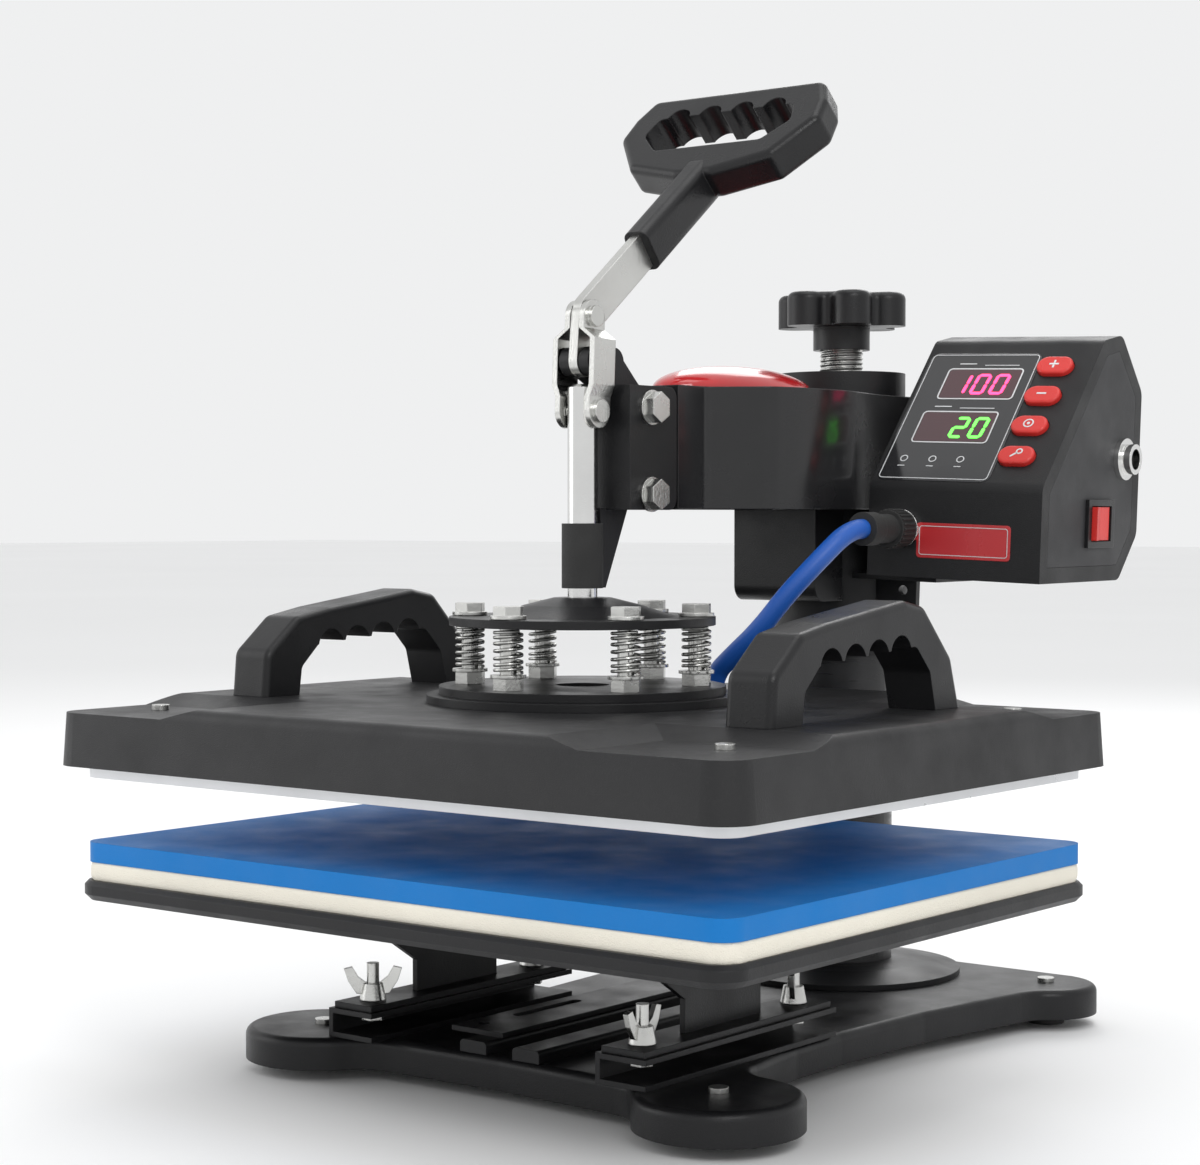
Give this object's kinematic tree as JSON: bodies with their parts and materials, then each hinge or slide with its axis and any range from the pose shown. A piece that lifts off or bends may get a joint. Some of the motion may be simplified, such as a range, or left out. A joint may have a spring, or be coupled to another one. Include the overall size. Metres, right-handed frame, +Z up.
{
  "type": "mug heat press",
  "caption": "Benchtop transfer press: a lever-driven heated platen on a swinging arm over a padded table, with a timer and temperature box.",
  "frame": {"origin": "under the middle of the whole press, on the bench, with the platen at rest over the table", "axes": "+X to the operator's right, +Y away from the operator towards the post, +Z up"},
  "size_m": [0.402, 0.4544, 0.4916],
  "materials": {
    "black_metal": "satin textured powder coat",
    "zinc": "bright zinc plate",
    "chrome": "polished",
    "brass": "turned",
    "aluminium": "ground and coated",
    "blue_rubber": "smooth silicone sheet",
    "foam": "open-cell foam",
    "black_rubber": "moulded",
    "blue_cable": "silicone jacket",
    "black_plastic": "moulded, fine texture",
    "gloss_black": "polished moulding",
    "red_gloss": "polished moulding",
    "red_button": "moulded",
    "display": "clear over black print",
    "board_green": "solder mask",
    "insulation": "pressed fibre board"
  },
  "bodies": {
    "base": {"base_plate": "black_metal", "rubber_feet": "black_rubber", "foot_screws": "zinc", "post_flange": "black_metal", "post": "black_metal", "accessory_rails": "black_metal", "guide_bars": "black_metal", "table_legs": "black_metal", "table_tray": "black_metal", "foam_pad": "foam", "silicone_mat": "blue_rubber", "wing_studs": "zinc"},
    "bearing": {"swing_bush": "brass"},
    "knob": {"pressure_knob": "black_plastic", "pressure_screw": "zinc"},
    "arm": {"arm_frame": "black_metal", "arm_cowl_left": "gloss_black", "arm_cowl_right": "gloss_black", "arm_dome": "red_gloss", "arm_skirt": "black_plastic", "lever_bracket": "black_metal", "bracket_bolts": "zinc", "guide_bushing": "black_rubber", "pivot_pin": "zinc", "box_bracket": "black_metal", "control_housing": "black_metal", "side_panel": "black_metal", "display_window": "display", "rocker_bezel": "black_plastic", "aux_socket": "chrome", "lead_socket": "chrome", "lead_plug": "black_rubber", "circuit_board": "board_green"},
    "ram": {"press_rod": "chrome", "cross_pin": "zinc", "domed_plate": "black_metal", "heating_lead": "blue_cable"},
    "lever": {"lever_bar": "zinc", "lever_grip": "black_plastic", "lever_rivet": "zinc"},
    "links": {"side_links": "zinc"},
    "platen": {"platen_cover": "black_metal", "heating_plate": "aluminium", "insulation_board": "insulation", "spring_bolts": "zinc", "pressure_springs": "zinc", "spring_disc_lower": "black_metal", "spring_disc_upper": "black_metal", "side_handle_left": "black_plastic", "side_handle_right": "black_plastic", "cover_screws": "zinc"},
    "rocker": {"power_rocker": "red_button"},
    "key_up": {"button_up": "red_button"},
    "key_down": {"button_down": "red_button"},
    "key_mode": {"button_mode": "red_button"},
    "key_set": {"button_set": "red_button"},
    "wing_1": {"wing_nut_1": "zinc"},
    "wing_2": {"wing_nut_2": "zinc"},
    "wing_3": {"wing_nut_3": "zinc"},
    "wing_4": {"wing_nut_4": "zinc"}
  },
  "joints": [
    {"name": "arm_swing", "type": "hinge", "parent": "base", "child": "bearing", "pos_m": [0, 0.16032, 0.26], "axis": [0, 0, 1], "continuous": true},
    {"name": "arm_height", "type": "slide", "parent": "bearing", "child": "arm", "axis": [0, 0, 1], "range_m": [0, 0.01]},
    {"name": "knob_turn", "type": "hinge", "parent": "bearing", "child": "knob", "pos_m": [0, 0.16032, 0.376], "axis": [0, 0, 1], "range_deg": [0, 1440]},
    {"name": "press_stroke", "type": "slide", "parent": "arm", "child": "ram", "axis": [0, 0, -1], "range_m": [0, 0.031], "deforming": ["heating_lead"]},
    {"name": "lever_pull", "type": "hinge", "parent": "arm", "child": "lever", "pos_m": [0, -0.06768, 0.3465], "axis": [1, 0, 0], "range_deg": [0, 131.94]},
    {"name": "link_swing", "type": "hinge", "parent": "lever", "child": "links", "pos_m": [0, -0.06568, 0.368], "axis": [1, 0, 0], "range_deg": [-107.06, 0]},
    {"name": "platen_float", "type": "slide", "parent": "ram", "child": "platen", "axis": [0, 0, 1], "range_m": [0, 0.006], "stiffness_N_per_m": 20000, "springref_m": -0.006, "deforming": ["pressure_springs"]},
    {"name": "rocker_tilt", "type": "hinge", "parent": "arm", "child": "rocker", "pos_m": [0.1475, 0.17725, 0.26859], "axis": [0.0349, 0, 0.9994], "range_deg": [-17, 0]},
    {"name": "press_up", "type": "slide", "parent": "arm", "child": "key_up", "axis": [-0.0623, 0.7485, -0.6602], "range_m": [0, 0.0012], "stiffness_N_per_m": 900, "springref_m": -0.0012},
    {"name": "press_down", "type": "slide", "parent": "arm", "child": "key_down", "axis": [-0.0623, 0.7485, -0.6602], "range_m": [0, 0.0012], "stiffness_N_per_m": 900, "springref_m": -0.0012},
    {"name": "press_mode", "type": "slide", "parent": "arm", "child": "key_mode", "axis": [-0.0623, 0.7485, -0.6602], "range_m": [0, 0.0012], "stiffness_N_per_m": 900, "springref_m": -0.0012},
    {"name": "press_set", "type": "slide", "parent": "arm", "child": "key_set", "axis": [-0.0623, 0.7485, -0.6602], "range_m": [0, 0.0012], "stiffness_N_per_m": 900, "springref_m": -0.0012},
    {"name": "wing_turn_1", "type": "hinge", "parent": "base", "child": "wing_1", "pos_m": [-0.082, -0.12768, 0.04], "axis": [0, 0, 1], "continuous": true},
    {"name": "wing_turn_2", "type": "hinge", "parent": "base", "child": "wing_2", "pos_m": [-0.082, -0.00768, 0.04], "axis": [0, 0, 1], "continuous": true},
    {"name": "wing_turn_3", "type": "hinge", "parent": "base", "child": "wing_3", "pos_m": [0.082, -0.12768, 0.04], "axis": [0, 0, 1], "continuous": true},
    {"name": "wing_turn_4", "type": "hinge", "parent": "base", "child": "wing_4", "pos_m": [0.082, -0.00768, 0.04], "axis": [0, 0, 1], "continuous": true}
  ],
  "couplings": [
    {"joint": "knob_turn", "follows": "arm_height", "rad_per_m": 2513.3},
    {"joint": "lever_pull", "follows": "press_stroke", "rad_per_m": 74.283},
    {"joint": "link_swing", "follows": "press_stroke", "rad_per_m": -60.275}
  ]
}
